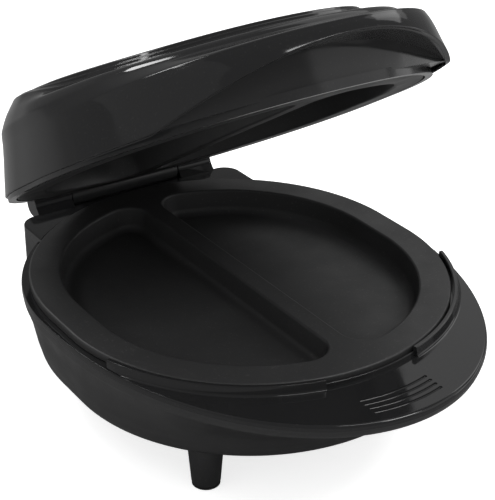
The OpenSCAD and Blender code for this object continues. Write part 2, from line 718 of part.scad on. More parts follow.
// Sleeved leads that climb from the terminal block into the left knuckle, turn along its axis and
// pass through the hollow left pin, so that they only twist when the lid turns
module hinge_sleeve() color(rubber) on_base() lead([
    [-pole_pitch / 2, block_y + 8, block_hole_z], [-14, block_y + 19, block_hole_z + 2],
    [-38, plate_len - 25, -shield_depth - 5], [-sleeve_x + 2, plate_len - 14, -26],
    slanted(sleeve_rise) - [0, 0, 3], slanted(18), slanted(9), slanted(2) + [0.4, 0, 0],
    [-sleeve_x + 3.4, hinge_y, hinge_z], [-pin_out + 8, hinge_y, hinge_z],
    [-pin_in + 8, hinge_y, hinge_z]], sleeve_r, 5);

/* Lid */

// How far the top panel has risen at a place y, how deep the ledges are there, and how far the
// shoulder line has dropped towards the front
function rise(y) = let (t = min(max((y + plate_len - 11) / 160, 0), 1)) panel_tilt * (1 - cos(180 * t)) / 2;
function ledges(y) = let (t = min(max((24 - y) / 60, 0), 1)) ledge_h * t * t * (3 - 2 * t);
function droop(y) = 0.06 * max(-y - 58, 0);

// Each row is a level of the lid: height, half width, reach in front, share of the panel's rise,
// number of ledges above it and share of the shoulder's drop
function lid_levels() = let (z = shoulder_z + panel_rise) [
    [z + 1.6, 12, 14, 1, 0, 0],
    [z + 1.5, base_r - 54, hood_reach - 84, 1, 0, 0],
    [z + 0.9, base_r - 30, hood_reach - 58, 1, 0, 0],
    [z, base_r - 23.4, hood_reach - 49, 1, 0, 0],
    [z, base_r - 22.8, hood_reach - 48.2, 1, 1, 0],
    [z - 0.3, base_r - 20.6, hood_reach - 45.6, 1, 1, 0],
    [z - 0.3, base_r - 20, hood_reach - 44.8, 1, 2, 0],
    [z - 1, base_r - 18, hood_reach - 42.4, 1, 2, 0],
    [z - 1.2, base_r - 17.2, hood_reach - 41.4, 1, 3, 0],
    [shoulder_z + 2.6, base_r - 11, hood_reach - 31, 0.5, 0, 0.6],
    [shoulder_z, base_r - 7, hood_reach - 26, 0, 0, 1],
    [edge_z + 25.6, base_r - 6, hood_reach - 7.5, 0, 0, 0],
    [edge_z + 23, base_r - 5.5, hood_reach - 4, 0, 0, 0],
    [edge_z + 17, base_r - 4.2, hood_reach - 2, 0, 0, 0],
    [edge_z + 9, base_r - 2.2, hood_reach - 1, 0, 0, 0],
    [edge_z + 4, base_r - 1, hood_reach - 0.3, 0, 0, 0],
    [edge_z, base_r, hood_reach, 0, 0, 0]];

function lid_ring(l, inset, drop) = [for (p = outline(l[1] - inset, l[2] - inset, 0, 2.1))
    let (y = l[1] < 20 ? 0 : p[1])
    [p[0], p[1], l[0] - drop + l[3] * rise(y) - l[4] * ledges(y) - l[5] * droop(y)]];

module lid_outside() loft([for (l = lid_levels()) lid_ring(l, 0, 0)]);

// The lid's form drawn in all round, without the ledges. It runs on below the lid's edge.
function plain_levels() = let (l = lid_levels()) [l[0], l[1], l[2],
    [shoulder_z + panel_rise - 3, base_r - 19, hood_reach - 43, 1, 3, 0],
    l[9], l[10], l[11], l[12], l[13], l[14], l[16], [lid_low - 8, base_r, hood_reach, 0, 0, 0]];
module lid_inside(inset) loft([for (l = plain_levels())
    lid_ring(l, inset, l[0] > edge_z + 22.5 ? inset * 1.1 : 0)]);

// Outline of the finger arch seen from the front, raised by up, and a prism of it through the lid's front
function arch_line(up) = [for (i = [-12:12]) [arch_half_w * i / 12, edge_z + up + arch_h * (1 - i * i / 144)]];
module arch(up) translate([0, -plate_len + 42, 0]) rotate([90, 0, 0]) linear_extrude(lip_reach)
    polygon(concat(arch_line(up), [[arch_half_w, edge_z - 6], [-arch_half_w, edge_z - 6]]));

// Back wall of the finger recess, flatter than the plate's round, drawn in by inset
recess_wall_r = 1.5 * plate_r;
recess_t = 2.2;
module recess_back(inset, low) translate([0, recess_wall_r - plate_len - 1, 0])
    bore(recess_wall_r - inset, low, edge_z + arch_h + 4, $fn = 4 * seg);

recess_r = base_r - 1;
lid_screw_x = 40;
lid_screw_y = mid + sqrt(pow(plate_r - 5.4, 2) - lid_screw_x * lid_screw_x);
lid_boss_z = lid_low + plate_rim_t + 5;
lamp_y = -(plate_len - 48);
lens_r = 3.4;
lens_top = shoulder_z + panel_rise + 1.5 + rise(lamp_y);
module knuckle_space(clear) translate([-knuckle_half_w - clear, plate_len - 8, lid_low - 2])
    cube([2 * (knuckle_half_w + clear), 20, arm_top - lid_low + 2 + clear]);
arm_top = 7.8;

// Glossy outer cover of the lid
module lid_shell() color(gloss) on_lid() difference() {
    union() {
        difference() {
            lid_outside();
            lid_inside(lid_wall);
            translate([0, -14, 0]) arch(0);
        }
        intersection() {
            four_ways(lid_screw_x, lid_screw_y) bore(casing_boss_r, lid_boss_z, 100);
            lid_inside(lid_wall / 2);
        }
    }
    four_ways(lid_screw_x, lid_screw_y) bore(casing_screw_r, lid_boss_z - 1, lid_boss_z + 9);
    both_sides() translate([lamp_x, lamp_y, 0]) bore(lens_r + 0.1, 20, 100);
    knuckle_space(fit);
}

seat_top = lid_low + plate_rim_t + deck_t;
upper_r = plate_r - upper_inset;

// Inner frame of the lid: flange and seat for the upper plate, finger recess in front, and middle knuckle
module lid_frame() color(black) on_lid() difference() {
    union() {
        prism(oval(recess_r), lid_low, edge_z - 0.1);
        prism(oval(upper_r + 1.5), lid_low, seat_top);
        intersection() {
            union() {
                difference() {
                    prism(oval(recess_r), edge_z - 1, edge_z + recess_t);
                    prism(oval(recess_r - recess_t), edge_z - 2, edge_z + recess_t + 1);
                }
                difference() {
                    recess_back(0, edge_z + 1);
                    recess_back(recess_t, edge_z + recess_t);
                    prism(oval(recess_r - 1), edge_z, edge_z + recess_t);
                }
            }
            translate([-base_r, -hood_reach, 0]) cube([2 * base_r, hood_reach - plate_straight, 100]);
            arch(recess_t);
            lid_inside(lid_wall + fit);
        }
        intersection() {
            difference() {
                arch(recess_t);
                arch(0.1);
                recess_back(1, edge_z - 6);
            }
            lid_inside(lid_wall + fit);
        }
        translate([-knuckle_half_w, plate_len - 6, lid_low])
            cube([2 * knuckle_half_w, hinge_back + 6, arm_top - lid_low]);
        translate([-knuckle_half_w, hinge_y, hinge_z]) rotate([0, 90, 0])
            cylinder(r = knuckle_r, h = 2 * knuckle_half_w);
        four_ways(lid_screw_x, lid_screw_y) bore(casing_boss_r, lid_low + plate_rim_t, lid_boss_z);
    }
    prism(oval(upper_r + 0.6), lid_low - 1, lid_low + plate_rim_t);
    difference() {
        prism(oval(seat_r - 1.5), lid_low - 1, seat_top + 1);
        upside() plate_screw_places() bore(tab_r, -seat_top, -plate_rim_t);
        four_ways(lid_screw_x, lid_screw_y) bore(casing_boss_r, lid_low + plate_rim_t, lid_boss_z);
    }
    plate_screw_places() bore(plate_screw_r + 0.2, lid_low, seat_top + 1);
    four_ways(lid_screw_x, lid_screw_y) {
        bore(casing_screw_r + 0.2, lid_low, lid_boss_z + 1);
        bore(casing_head_r + 0.3, lid_low, lid_low + plate_rim_t + 2.4);
    }
    both_sides() translate([pin_in - 1, hinge_y, hinge_z]) rotate([0, 90, 0])
        cylinder(r = pin_r + pin_clear, h = knuckle_half_w);
    translate([-pin_in, hinge_y, hinge_z]) rotate([0, 90, 0]) cylinder(r = sleeve_bore, h = 6);
    translate([-pin_in + 2.5, hinge_y, hinge_z]) rotate([0, 90, 0]) cylinder(r = 4, h = 2 * pin_in - 5);
    translate([-lead_gap, plate_len - 7, lead_gap_z]) cube([2 * lead_gap, hinge_back + 6.5, lead_gap_h]);
    translate([-lead_gap, hinge_y - 6, hinge_z + 1.4])
        cube([2 * lead_gap, 5.5, lead_gap_z + lead_gap_h - hinge_z - 1.4]);
    translate([-lead_gap, plate_len - 7, lead_gap_z]) cube([2 * lead_gap, 3.5, 4 * lead_gap_h]);
}

lead_gap = 6;
lead_gap_z = lid_low + plate_rim_t + 0.1;
lead_gap_h = 2.4;

module lid_casing_screws() color(steel) on_lid() four_ways(lid_screw_x, lid_screw_y)
    screw(casing_screw_r - pin_clear, casing_head_r, casing_head_h, lid_low + plate_rim_t + 2.4, 10);

// Moulded lens with a domed face, held from inside by its flange
flange_drop = 3.4;
module lens() {
    bore(lens_r, lens_top - flange_drop, lens_top - 0.2);
    translate([0, 0, lens_top - 0.2]) cylinder(r1 = lens_r, r2 = lens_r - 1, h = 0.8);
    bore(lens_r + 1.6, lens_top - flange_drop - 1.2, lens_top - flange_drop);
}

module power_lens() color("firebrick") on_lid() translate([-lamp_x, lamp_y, 0]) lens();
module ready_lens() color("seagreen") on_lid() translate([lamp_x, lamp_y, 0]) lens();

lamp_low = lens_top - flange_drop - 5.2;
module lamp() {
    bore(2.6, lamp_low, lamp_low + 3.9);
    for (s = [-1, 1]) translate([s * 1.2, 0, 0]) bore(0.4, lamp_low - 1.6, lamp_low + eps);
}

module power_lamp() color(ceramic) on_lid() translate([-lamp_x, lamp_y, 0]) lamp();
module ready_lamp() color(ceramic) on_lid() translate([lamp_x, lamp_y, 0]) lamp();

// Leads in the lid: out of the sleeve's end, through the slot over the plate's rim, up behind the heat
// shield and over it to the lamps
lid_lead_z = lid_low + shield_depth + 1.6;
lid_lead_r = 0.8;
slot_z = lead_gap_z + lead_gap_h / 2;
lid_lead_x = 26;
lid_lead_y = 10;
lid_turn_x = 16;
lid_turn_y = -30;
module lid_lead(start, side) lead(concat(start, [
    [side * 2.6, hinge_y - 7, slot_z], [side * 2.6, plate_len - 2, slot_z - 0.1],
    [side * 3.2, plate_len - 6.4, slot_z + 3],
    [side * 6, plate_len - 6.4, lid_lead_z - 8], [side * 9, plate_len - 11, lid_lead_z + 1],
    [side * lead_hole_x, lead_hole_y, lid_lead_z], [side * lid_lead_x, lid_lead_y, lid_lead_z],
    [side * lid_turn_x, lid_turn_y, lid_lead_z],
    [side * (lamp_x + 1.2), lamp_y + 1.6, lamp_low - 1]]), lid_lead_r, 3);

module lid_live_lead() color("saddlebrown") on_lid() lid_lead([[-pin_in + 8.2, hinge_y, hinge_z + 1.1],
    [-6, hinge_y - 1, hinge_z + 2.6], [-2.8, hinge_y - 3, hinge_z + 4.2]], -1);
module lid_neutral_lead() color("steelblue") on_lid() lid_lead([[-pin_in + 8.2, hinge_y, hinge_z - 1.1],
    [-3, hinge_y, hinge_z - 0.6], [2.2, hinge_y - 1.4, hinge_z + 2.2], [2.6, hinge_y - 4, slot_z - 0.2]], 1);

base_shell();
base_frame();
foot_pads();
lower_plate();
lower_heater();
lower_heater_clamps();
lower_clamp_screws();
lower_heat_shield();
lower_plate_screws();
base_casing_screws();
thermostat();
thermostat_screws();
thermal_fuse();
fuse_clip();
terminal_block();
terminal_screws();
live_lead();
neutral_lead();
earth_lead();
hinge_sleeve();
cord_inlet_bush();
hinge_pin_left();
hinge_pin_right();
lid_shell();
lid_frame();
upper_plate();
upper_heater();
upper_heater_clamps();
upper_clamp_screws();
upper_heat_shield();
upper_plate_screws();
lid_casing_screws();
power_lens();
ready_lens();
power_lamp();
ready_lamp();
lid_live_lead();
lid_neutral_lead();
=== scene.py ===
# Electric omelette maker with its lid part open: two half-moon wells below and two above.
# Meshes are drawn in millimetres in the plates' own frame, whose origin is in the middle of the lower
# plate's rim plane. X runs to the right as seen from the grip, Y back to the hinge and Z up.
import json
import math
import bmesh
import bpy
from mathutils import Matrix, Vector


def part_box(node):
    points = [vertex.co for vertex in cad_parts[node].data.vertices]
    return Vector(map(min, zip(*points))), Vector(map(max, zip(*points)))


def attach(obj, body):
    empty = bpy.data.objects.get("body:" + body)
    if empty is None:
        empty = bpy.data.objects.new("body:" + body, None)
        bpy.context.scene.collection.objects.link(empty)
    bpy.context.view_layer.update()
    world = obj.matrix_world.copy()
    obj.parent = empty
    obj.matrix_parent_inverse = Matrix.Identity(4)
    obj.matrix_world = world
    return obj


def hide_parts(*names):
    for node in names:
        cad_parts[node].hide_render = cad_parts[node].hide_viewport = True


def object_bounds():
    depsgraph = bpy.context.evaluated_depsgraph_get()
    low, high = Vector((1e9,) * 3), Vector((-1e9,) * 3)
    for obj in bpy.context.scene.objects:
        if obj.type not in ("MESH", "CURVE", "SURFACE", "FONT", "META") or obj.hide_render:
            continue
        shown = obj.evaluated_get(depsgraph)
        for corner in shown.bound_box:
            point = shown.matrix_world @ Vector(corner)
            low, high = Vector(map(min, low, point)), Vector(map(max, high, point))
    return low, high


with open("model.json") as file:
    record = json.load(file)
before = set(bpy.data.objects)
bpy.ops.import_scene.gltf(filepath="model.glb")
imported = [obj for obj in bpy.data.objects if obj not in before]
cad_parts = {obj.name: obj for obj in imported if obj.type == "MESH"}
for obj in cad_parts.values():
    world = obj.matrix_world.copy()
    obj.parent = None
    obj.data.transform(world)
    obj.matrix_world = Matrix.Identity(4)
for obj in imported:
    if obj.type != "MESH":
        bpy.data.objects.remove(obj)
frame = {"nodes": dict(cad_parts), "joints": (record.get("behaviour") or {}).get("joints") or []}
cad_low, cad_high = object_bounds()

# Bowl of the base
# The real one is one black moulding with a fine satin skin: a bowl that flows out into the grip's
# underside, the hinge housing behind it, cooling slots below and four hollow legs.
per_metre = 1000
plate_low, plate_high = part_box("lower_plate")
# The plate is two half rounds with a straight stretch between them, of which mid is half
plate_r = per_metre / 2 * (plate_high.x - plate_low.x)
mid = per_metre / 2 * (plate_high.y - plate_low.y) - plate_r
plate_len = plate_r + mid
base_place = (Matrix.Translation((0, (plate_low.y + plate_high.y) / 2, plate_high.z))
              @ Matrix.Scale(1 / per_metre, 4))
border = 4
base_r = plate_r + border
lip_reach = plate_len + 37
deck_z = -4
deck_low = deck_z - 3
bowl_depth, bowl_wall, bowl_floor = 48, 2.2, 1.98
leg_x, leg_y, leg_clear = 62, 68, 16.8
leg_top_r, leg_foot_r, foot_peg_r, foot_peg_top = 9, 7, 3.5, 6
leg_root, leg_boss_h, leg_round, leg_round_mid = 9, 12, 1, 0.3
housing_half_w, housing_y, housing_h, housing_corner = 68, plate_len + 3, 36, 10
housing_round, housing_round_mid = 1.2, 0.35
casing_places = [(20, -(lip_reach - 17)), (housing_half_w - 8, housing_y - 22.5)]
casing_boss_r, casing_head_r, casing_head_gap, casing_seat_t = 4.2, 2.8, 0.4, 3
casing_levels = [deck_low - 3.5, deck_low - 16]
slot_w, slot_len, slot_pitch, slots_each_side = 3, 44, 9, 3
inlet_x, inlet_z, inlet_hole_r = 38, deck_low - 15, 5.9
half_steps, corner_steps = 96, 12


def outline(half_w, reach, start=0.0, fullness=2.0):
    """Plan outline: a round back, and a front that is half an ellipse reaching forward from start."""
    turns = [(math.cos(math.pi * i / half_steps), math.sin(math.pi * i / half_steps))
             for i in range(half_steps + 1)]
    back = [(half_w * c, mid + half_w * s) for c, s in turns]
    front = [(-half_w * math.copysign(abs(c) ** (2 / fullness), c),
              -start - (reach - start) * abs(s) ** (2 / fullness)) for c, s in turns]
    return back + front


def oval(r):
    """The plate's own outline with another radius."""
    return outline(r, r + mid, mid)


def at(shape, z):
    return [(x, y, z) for x, y in shape]


def both_sides(x):
    return (-x, x)


def solid(name, points, faces):
    """A closed mesh object with its faces turned outwards."""
    mesh = bpy.data.meshes.new(name)
    mesh.from_pydata(points, [], faces)
    work = bmesh.new()
    work.from_mesh(mesh)
    bmesh.ops.recalc_face_normals(work, faces=work.faces)
    work.to_mesh(mesh)
    work.free()
    piece = bpy.data.objects.new(name, mesh)
    bpy.context.scene.collection.objects.link(piece)
    return piece


def loft(name, rings):
    """Closed solid through a stack of rings that share their number of points."""
    n = len(rings[0])
    faces = [(j * n + i, (j + 1) * n + i, (j + 1) * n + (i + 1) % n, j * n + (i + 1) % n)
             for j in range(len(rings) - 1) for i in range(n)]
    faces += [tuple(range(n)), tuple(range((len(rings) - 1) * n, len(rings) * n))]
    return solid(name, [p for ring in rings for p in ring], faces)


def prism(shape, low, high):
    return loft("prism", [at(shape, low), at(shape, high)])


def smooth(rows, steps):
    """Rows of numbers along a smooth curve through the given rows."""
    out = []
    for i in range(len(rows) - 1):
        a, b, c, d = rows[max(i - 1, 0)], rows[i], rows[i + 1], rows[min(i + 2, len(rows) - 1)]
        for k in range(steps):
            t = k / steps
            out.append([0.5 * (2 * q + (r - p) * t + (2 * p - 5 * q + 4 * r - s) * t * t
                               + (3 * q - p - 3 * r + s) * t ** 3) for p, q, r, s in zip(a, b, c, d)])
    return out + [list(rows[-1])]


def turned(profile, start, along=(0, 0, 1), steps=64):
    """Solid of revolution. The profile is a list of (distance along the axis, radius)."""
    axis = Vector(along).normalized()
    side = axis.orthogonal().normalized()
    up = axis.cross(side)
    rings = [[tuple(Vector(start) + axis * d + (side * math.cos(a) + up * math.sin(a)) * r)
              for a in (2 * math.pi * k / steps for k in range(steps))] for d, r in profile]
    return loft("turned", rings)


def rod(r, low, high, start, along=(0, 0, 1)):
    """Round bar from low to high along its axis."""
    return turned([(low, r), (high, r)], start, along)


def bake(piece):
    """Turns the piece's modifiers into its mesh."""
    graph = bpy.context.evaluated_depsgraph_get()
    mesh = bpy.data.meshes.new_from_object(piece.evaluated_get(graph))
    old = piece.data
    piece.modifiers.clear()
    piece.data = mesh
    bpy.data.meshes.remove(old)


def combine(operation, piece, others):
    for other in others:
        step = piece.modifiers.new(operation, "BOOLEAN")
        step.operation = operation
        step.solver = "MANIFOLD"
        step.object = other
    bake(piece)
    for other in others:
        bpy.data.objects.remove(other)
    return piece


def cut(piece, *tools):
    return combine("DIFFERENCE", piece, tools)


def join(piece, *parts):
    return combine("UNION", piece, parts)


def keep(piece, *tools):
    return combine("INTERSECT", piece, tools)


def surface(piece, material, place, name, sharp=32):
    """Puts a drawn piece where it stands, smooth but for its sharp edges, in its material."""
    piece.data.transform(place)
    piece.name = name
    piece.data.name = name
    work = bmesh.new()
    work.from_mesh(piece.data)
    bmesh.ops.remove_doubles(work, verts=work.verts, dist=2e-6)
    bmesh.ops.dissolve_degenerate(work, edges=work.edges, dist=1e-6)
    for face in work.faces:
        face.smooth = True
    for edge in work.edges:
        edge.smooth = len(edge.link_faces) == 2 and edge.calc_face_angle(0) < math.radians(sharp)
    work.to_mesh(piece.data)
    work.free()
    weigh = piece.modifiers.new("even normals", "WEIGHTED_NORMAL")
    weigh.keep_sharp = True
    weigh.weight = 60
    bake(piece)
    piece.data.materials.clear()
    piece.data.materials.append(material)
    return piece


def fill_in(node, values):
    """Sets sockets of a shader node by name."""
    for socket, value in values.items():
        node.inputs[socket].default_value = value
    return node


def colour_mix(nodes, values):
    mix = nodes.new("ShaderNodeMix")
    mix.data_type = "RGBA"
    return fill_in(mix, values)


cloud_scale, dust_scale, wear_scale = 22, 900, 60
dust_colour = (0.32, 0.31, 0.30, 1)


def plastic(name, colour, tint, rough, rough_more, grain_scale, grain_depth, specks=0.0):
    """Moulded or coated surface: two close colours in soft clouds, uneven gloss and a fine grain.
    Specks are fine dust, which lifts the colour a little where it lies."""
    material = bpy.data.materials.new(name)
    material.use_nodes = True
    nodes, links = material.node_tree.nodes, material.node_tree.links
    shader = fill_in(nodes["Principled BSDF"], {"IOR": 1.5})
    where = nodes.new("ShaderNodeTexCoord")

    def noise(scale, detail):
        texture = fill_in(nodes.new("ShaderNodeTexNoise"), {"Scale": scale, "Detail": detail})
        links.new(where.outputs["Object"], texture.inputs["Vector"])
        return texture.outputs["Fac"]

    blend = colour_mix(nodes, {"A": (*colour, 1), "B": (*tint, 1)})
    links.new(noise(cloud_scale, 4), blend.inputs["Factor"])
    where_dusty = fill_in(nodes.new("ShaderNodeMapRange"),
                          {"From Min": 0.66, "From Max": 0.74, "To Max": specks})
    links.new(noise(dust_scale, 1), where_dusty.inputs["Value"])
    dusty = colour_mix(nodes, {"B": dust_colour})
    links.new(where_dusty.outputs["Result"], dusty.inputs["Factor"])
    links.new(blend.outputs["Result"], dusty.inputs["A"])
    links.new(dusty.outputs["Result"], shader.inputs["Base Color"])
    gloss = fill_in(nodes.new("ShaderNodeMapRange"),
                    {"From Min": 0.35, "From Max": 0.7, "To Min": rough, "To Max": rough_more})
    links.new(noise(wear_scale, 6), gloss.inputs["Value"])
    links.new(gloss.outputs["Result"], shader.inputs["Roughness"])
    bump = fill_in(nodes.new("ShaderNodeBump"), {"Strength": 1.0, "Distance": grain_depth})
    links.new(noise(grain_scale, 3), bump.inputs["Height"])
    links.new(bump.outputs["Normal"], shader.inputs["Normal"])
    return material


def rounded_box(x, front, back, corner, inset=0.0):
    """Plan of the hinge housing: square in front, its two rear corners round."""
    x, back, corner = x - inset, back - inset, corner - inset
    turns = [math.pi / 2 * i / corner_steps for i in range(corner_steps + 1)]
    return ([(-x, front), (x, front)]
            + [(x - corner + corner * math.cos(t), back - corner + corner * math.sin(t)) for t in turns]
            + [(-x + corner - corner * math.sin(t), back - corner + corner * math.cos(t)) for t in turns])


# Each row is a level of the bowl: height, half width, reach in front, where the front starts to draw in
bowl_rows = [
    (deck_low, base_r, lip_reach, 0),
    (deck_low - 4, base_r - 0.6, lip_reach - 2, 0),
    (deck_low - 6.5, base_r - 1.4, lip_reach - 7, 1),
    (deck_low - 13, base_r - 3.3, lip_reach - 21, mid / 2),
    (deck_low - 21, base_r - 4.8, lip_reach - 34, mid * 0.8),
    (-bowl_depth + 13.5, base_r - 6.2, base_r + mid - 6.2, mid),
    (-bowl_depth + 6.3, base_r - 9, base_r + mid - 9, mid),
    (-bowl_depth + 3, base_r - 18, base_r + mid - 18, mid),
    (-bowl_depth + 0.7, base_r - 33, base_r + mid - 33, mid),
    (-bowl_depth, base_r - 52, base_r + mid - 52, mid)]


def bowl_form(inset, lift, top):
    """The bowl as one solid, drawn in by inset and raised by lift."""
    rings = [at(outline(base_r - inset, lip_reach - inset), top)] if top > deck_low else []
    for z, half_w, reach, start in smooth(bowl_rows, 7):
        rings.append(at(outline(half_w - inset, reach - inset, min(start, reach - inset - 1)),
                        z + (lift if z < deck_low else 0)))
    return loft("bowl form", rings)


def housing_form(inset, low, high):
    """The hinge housing as one solid, its lower edge rounded."""
    rings = [(housing_round, low), (housing_round_mid, low + housing_round_mid), (0, low + housing_round),
             (0, high)]
    return loft("housing", [at(rounded_box(housing_half_w, mid, housing_y, housing_corner, inset + more), z)
                            for more, z in rings])


bowl_inside = (bowl_wall, bowl_floor, deck_low + 1)
bowl = cut(join(bowl_form(0, 0, deck_low), housing_form(0, -housing_h, deck_low)),
           bowl_form(*bowl_inside), housing_form(bowl_wall, -housing_h + bowl_wall, deck_low + 1))
casing_bosses = [(x, y, top) for (boss_x, y), top in zip(casing_places, casing_levels)
                 for x in both_sides(boss_x)]
leg_places = [(x, y, 0) for x in both_sides(leg_x) for y in both_sides(leg_y)]
bosses = [rod(casing_boss_r, -bowl_depth, top, (x, y, 0)) for x, y, top in casing_bosses]
bosses += [rod(leg_foot_r, -bowl_depth, -bowl_depth + leg_boss_h, place) for place in leg_places]
bosses = keep(join(*bosses), join(bowl_form(bowl_wall / 2, 0, deck_low),
                                  housing_form(bowl_wall / 2, -housing_h, deck_low)))
leg_foot = -bowl_depth - leg_clear
leg_profile = [(leg_foot, leg_foot_r - leg_round), (leg_foot + leg_round_mid, leg_foot_r - leg_round_mid),
               (leg_foot + leg_round, leg_foot_r), (-bowl_depth + leg_root, leg_top_r)]
legs = join(*[turned(leg_profile, place) for place in leg_places])
bowl = join(bowl, bosses, cut(legs, bowl_form(*bowl_inside)))
holes = [rod(casing_head_r + casing_head_gap, -bowl_depth - 1, top - casing_seat_t, (x, y, 0))
         for x, y, top in casing_bosses]
slot_r, slot_half = slot_w / 2, slot_len / 2 - slot_w / 2
slot_ends = [(math.cos(math.pi * k / corner_steps), math.sin(math.pi * k / corner_steps))
             for k in range(corner_steps + 1)]
for i in range(-slots_each_side, slots_each_side + 1):
    plan = ([(i * slot_pitch + slot_r * c, slot_half + slot_r * s) for c, s in slot_ends]
            + [(i * slot_pitch - slot_r * c, -slot_half - slot_r * s) for c, s in slot_ends])
    holes.append(prism(plan, -bowl_depth - 1, -bowl_depth + bowl_wall + 1))
holes.append(rod(inlet_hole_r, -bowl_wall - 2, 1, (inlet_x, housing_y, inlet_z), (0, 1, 0)))
holes += [rod(foot_peg_r, leg_foot - 1, -bowl_depth + foot_peg_top, place) for place in leg_places]
bowl = cut(bowl, *holes)
satin_black = plastic("satin black moulding", (0.0175, 0.0175, 0.018), (0.022, 0.022, 0.0225),
                      0.30, 0.40, 1500, 0.00003, specks=0.06)
surface(bowl, satin_black, base_place, "bowl")
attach(bowl, "base")
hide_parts("base_shell")

# Feet and cord bush
# Soft black rubber: a foot pressed into the hollow end of each leg, and the bush that lines the hole
# where the supply cord goes in at the back.
rubber = plastic("black rubber", (0.014, 0.014, 0.014), (0.022, 0.021, 0.020), 0.55, 0.75, 2600, 0.00004,
                 specks=0.12)


def dress(node, material):
    """Gives a piece that stays as the CAD draws it its material."""
    materials = frame["nodes"][node].data.materials
    materials.clear()
    materials.append(material)


dress("foot_pads", rubber)
dress("cord_inlet_bush", rubber)

# Top of the base
# One glossy black moulding: the deck with its grip lip and four grooves, the guard ridge in front of the
# plate with its notch, the seat for the plate, and the two outer hinge knuckles.
hinge = frame["joints"][0]
hinge_y = per_metre * (hinge["pos_m"][1] - base_place.translation.y)
hinge_z = per_metre * (hinge["pos_m"][2] - base_place.translation.z)
rear_top_z, rear_round = -1.5, 0.9
side_edge, lip_edge = 0.4, 2.0
seat_r = plate_r - 3.5
plate_gap = 1.2
knuckle_r, knuckle_half_w, knuckle_gap, side_knuckle_w = 6, 33.5, 0.6, 22
knuckle_round, knuckle_round_mid = 0.5, 0.15
pin_bore_r = 3.05
cradle_half_w, cradle_clear = knuckle_half_w + knuckle_gap + 4, 0.7
ridge_in = plate_r + plate_gap
ridge_rise, ridge_round, ridge_top_w, ridge_fillet, ridge_foot_w, ridge_lean = 0.7, 0.6, 1.0, 1.4, 4.2, 8
ridge_end, ridge_margin = 18, 1.1
notch_turn, notch_lap = math.degrees(math.asin(25 / ridge_in)), 1
notch_rise, notch_round, notch_foot_w = 1.6, 0.5, 1.2
groove_bend_r, groove_pitch, groove_first, groove_count = 75, 3.6, 18, 4
groove_half_turn, groove_r, groove_sunk = 14, 0.85, 0.15


def swept(profile, centre, turn_from, turn_to, steps):
    """Profile of (radius, height) pairs swept round a vertical axis, with flat ends."""
    n = len(profile)
    points = []
    for k in range(steps + 1):
        t = math.radians(turn_from + (turn_to - turn_from) * k / steps)
        points += [(centre[0] + r * math.cos(t), centre[1] + r * math.sin(t), z) for r, z in profile]
    faces = [(k * n + i, k * n + (i + 1) % n, (k + 1) * n + (i + 1) % n, (k + 1) * n + i)
             for k in range(steps) for i in range(n)]
    faces += [tuple(range(n)), tuple(range(steps * n, steps * n + n))]
    return solid("swept", points, faces)


def arc(centre, r, turn_from, turn_to, steps):
    turns = [math.radians(turn_from + (turn_to - turn_from) * k / steps) for k in range(steps + 1)]
    return [(centre[0] + r * math.cos(t), centre[1] + r * math.sin(t)) for t in turns]


def barrel_profile(length):
    """A hinge knuckle along its axis, with its two ends rounded off."""
    end = [(0, knuckle_round), (knuckle_round_mid, knuckle_round_mid), (knuckle_round, 0)]
    return ([(d, knuckle_r - less) for d, less in end]
            + [(length - d, knuckle_r - less) for d, less in reversed(end)])


def rectangle(half_w, front, back):
    return [(-half_w, front), (half_w, front), (half_w, back), (-half_w, back)]


def between(shape, x0, x1):
    """Prism along X of a shape given as (y, z) points."""
    return loft("side shape", [[(x, y, z) for y, z in shape] for x in (x0, x1)])


deck_rings = [at(outline(base_r - side_edge * (1 - dx), lip_reach - lip_edge * (1 - dx)),
                 deck_z - lip_edge * (1 - dz)) for dx, dz in arc((0, 0), 1, 90, 0, 12)]
deck = loft("deck", deck_rings + [at(outline(base_r, lip_reach), deck_low)])
rear_rings = [at(rounded_box(housing_half_w, mid, housing_y, housing_corner, rear_round - dx),
                 rear_top_z - rear_round + dz) for dx, dz in arc((0, 0), rear_round, 90, 0, 5)]
rear_rings.append(at(rounded_box(housing_half_w, mid, housing_y, housing_corner), deck_low))
rear = cut(loft("rear deck", rear_rings), prism(oval(plate_r + plate_gap), deck_z, 1),
           prism(rectangle(base_r, 0, housing_y - 32), deck_z, 6))
knuckles = []
for side in (-1, 1):
    x0 = side * (knuckle_half_w + knuckle_gap)
    x1 = side * (knuckle_half_w + knuckle_gap + side_knuckle_w)
    knuckles.append(turned(barrel_profile(side_knuckle_w), (x0, hinge_y, hinge_z), (side, 0, 0)))
    web = [(housing_y - 7, deck_low + 1), (housing_y - 7, rear_top_z - 1),
           (housing_y - 2, rear_top_z - 0.2),
           (hinge_y - knuckle_r * 0.85, hinge_z + knuckle_r * 0.3), (hinge_y, hinge_z),
           (hinge_y, hinge_z - knuckle_r * 0.95), (housing_y, deck_low + 1)]
    knuckles.append(between(web, x0 + side * 0.1, x1 - side * 0.1))
cradle = [(housing_y - 3, deck_low), (hinge_y + 1, deck_low), (hinge_y + 1, hinge_z - knuckle_r * 1.03),
          (housing_y + 0.6, rear_top_z - 0.4), (housing_y - 3, rear_top_z - 0.4)]
cradle = cut(between(cradle, -cradle_half_w, cradle_half_w),
             rod(knuckle_r + cradle_clear, 0, 2 * knuckle_half_w + 0.6,
                 (-knuckle_half_w - 0.3, hinge_y, hinge_z), (1, 0, 0)))
deck = join(deck, rear, cradle, *knuckles)
hollows = [prism(oval(seat_r), deck_low - 1, 1)]
groove_z = deck_z - groove_sunk
groove_end = [(-groove_r * math.cos(math.pi * k / corner_steps),
               max(groove_r * math.sin(math.pi * k / corner_steps), 0.01)) for k in range(corner_steps + 1)]
